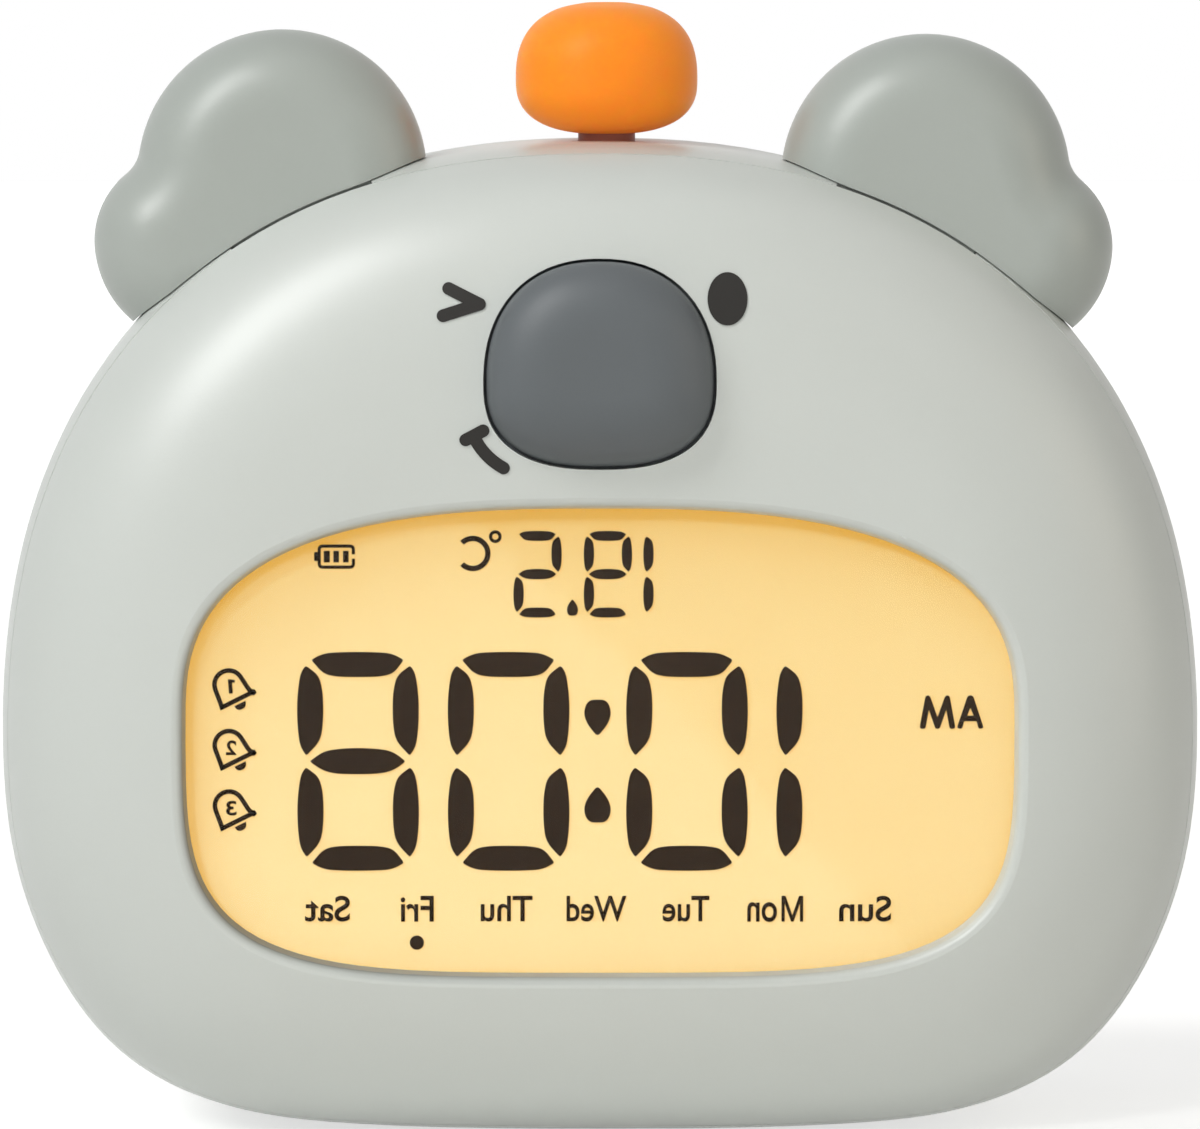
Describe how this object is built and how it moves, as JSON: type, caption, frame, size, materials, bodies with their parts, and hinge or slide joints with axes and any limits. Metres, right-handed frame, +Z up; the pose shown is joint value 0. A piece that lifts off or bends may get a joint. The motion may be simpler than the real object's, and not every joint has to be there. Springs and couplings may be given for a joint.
{
  "type": "kids alarm clock with night light",
  "caption": "Rounded animal-head alarm clock with a backlit amber display, a large nose button, two lobed ears and an orange press knob on top.",
  "frame": {"origin": "on the table under the middle of the clock's bounding box", "axes": "+X across the face to the viewer's right, -Y out of the face, +Z up"},
  "size_m": [0.1262, 0.06, 0.119],
  "materials": {
    "shell": "satin pale grey-green moulding",
    "ear": "satin grey moulding",
    "ink": "pad-printed dark ink",
    "nose": "satin slate grey moulding",
    "knob_orange": "satin orange moulding",
    "stem": "brown moulding",
    "key": "satin pale keys",
    "lens": "clear polished window",
    "lcd_ink": "dark liquid crystal segments",
    "lcd_glass": "amber backlit glass",
    "light_guide": "amber-lit diffuser",
    "led": "moulded lamp",
    "contact_rubber": "striped silicone",
    "circuit_board": "green solder mask",
    "chip": "black epoxy",
    "connector": "natural nylon",
    "spring_steel": "bright spring wire",
    "screw_steel": "zinc plated",
    "switch_case": "black switch case",
    "plunger": "moulded plunger",
    "socket_metal": "tinned sheet",
    "speaker_plastic": "black moulding",
    "speaker_paper": "pressed paper",
    "magnet": "nickel plated",
    "cell_wrap": "silver pouch",
    "foam_tape": "black foam",
    "lead_sleeve": "red sleeve",
    "ribbon_plastic": "grey ribbon",
    "foot_rubber": "grey rubber"
  },
  "bodies": {
    "clock": {"front_shell": "shell", "rear_shell": "shell", "ear_left_front": "ear", "ear_left_rear": "ear", "ear_right_front": "ear", "ear_right_rear": "ear", "eye_print": "ink", "wink_print": "ink", "mouth_print": "ink", "case_screws": "screw_steel", "foot_pads": "foot_rubber", "display_lens": "lens", "lcd_digits": "lcd_ink", "lcd_glass": "lcd_glass", "light_guide": "light_guide", "backlight_leds": "led", "zebra_strip": "contact_rubber", "main_board": "circuit_board", "main_board_screws": "screw_steel", "main_board_chips": "chip", "main_board_connectors": "connector", "nose_spring": "spring_steel", "nose_switch": "switch_case", "knob_spring": "spring_steel", "knob_switch": "switch_case", "lamp_board": "circuit_board", "lamp_board_screws": "screw_steel", "night_light_leds": "led", "rear_board": "circuit_board", "rear_board_screws": "screw_steel", "rear_board_connectors": "connector", "rear_switches": "switch_case", "usb_socket": "socket_metal", "speaker_frame": "speaker_plastic", "speaker_cone": "speaker_paper", "speaker_magnet": "magnet", "battery_cell": "cell_wrap", "battery_tape": "foam_tape", "battery_lead": "lead_sleeve", "lamp_lead": "lead_sleeve", "speaker_lead": "lead_sleeve", "board_ribbon": "ribbon_plastic"},
    "nose": {"nose_button": "nose", "nose_plunger": "plunger"},
    "top_knob": {"knob": "knob_orange", "knob_stem": "stem", "knob_clip": "spring_steel", "knob_plunger": "plunger"},
    "set_key": {"set_button": "key", "set_plunger": "plunger"},
    "hour_key": {"hour_button": "key", "hour_plunger": "plunger"},
    "minute_key": {"minute_button": "key", "minute_plunger": "plunger"},
    "alarm_key": {"alarm_button": "key", "alarm_plunger": "plunger"},
    "light_key": {"light_button": "key", "light_plunger": "plunger"}
  },
  "joints": [
    {"name": "nose_press", "type": "slide", "parent": "clock", "child": "nose", "axis": [0, 1, 0], "range_m": [0, 0.001], "stiffness_N_per_m": 500, "springref_m": -0.003, "deforming": ["nose_spring"]},
    {"name": "knob_press", "type": "slide", "parent": "clock", "child": "top_knob", "axis": [0, 0, -1], "range_m": [0, 0.0006], "stiffness_N_per_m": 800, "springref_m": -0.002, "deforming": ["knob_spring"]},
    {"name": "set_press", "type": "slide", "parent": "clock", "child": "set_key", "axis": [0, -1, 0], "range_m": [0, 0.0005], "stiffness_N_per_m": 1500, "springref_m": -0.0007},
    {"name": "hour_press", "type": "slide", "parent": "clock", "child": "hour_key", "axis": [0, -1, 0], "range_m": [0, 0.0005], "stiffness_N_per_m": 1500, "springref_m": -0.0007},
    {"name": "minute_press", "type": "slide", "parent": "clock", "child": "minute_key", "axis": [0, -1, 0], "range_m": [0, 0.0005], "stiffness_N_per_m": 1500, "springref_m": -0.0007},
    {"name": "alarm_press", "type": "slide", "parent": "clock", "child": "alarm_key", "axis": [0, -1, 0], "range_m": [0, 0.0005], "stiffness_N_per_m": 1500, "springref_m": -0.0007},
    {"name": "light_press", "type": "slide", "parent": "clock", "child": "light_key", "axis": [0, -1, 0], "range_m": [0, 0.0005], "stiffness_N_per_m": 1500, "springref_m": -0.0007}
  ]
}
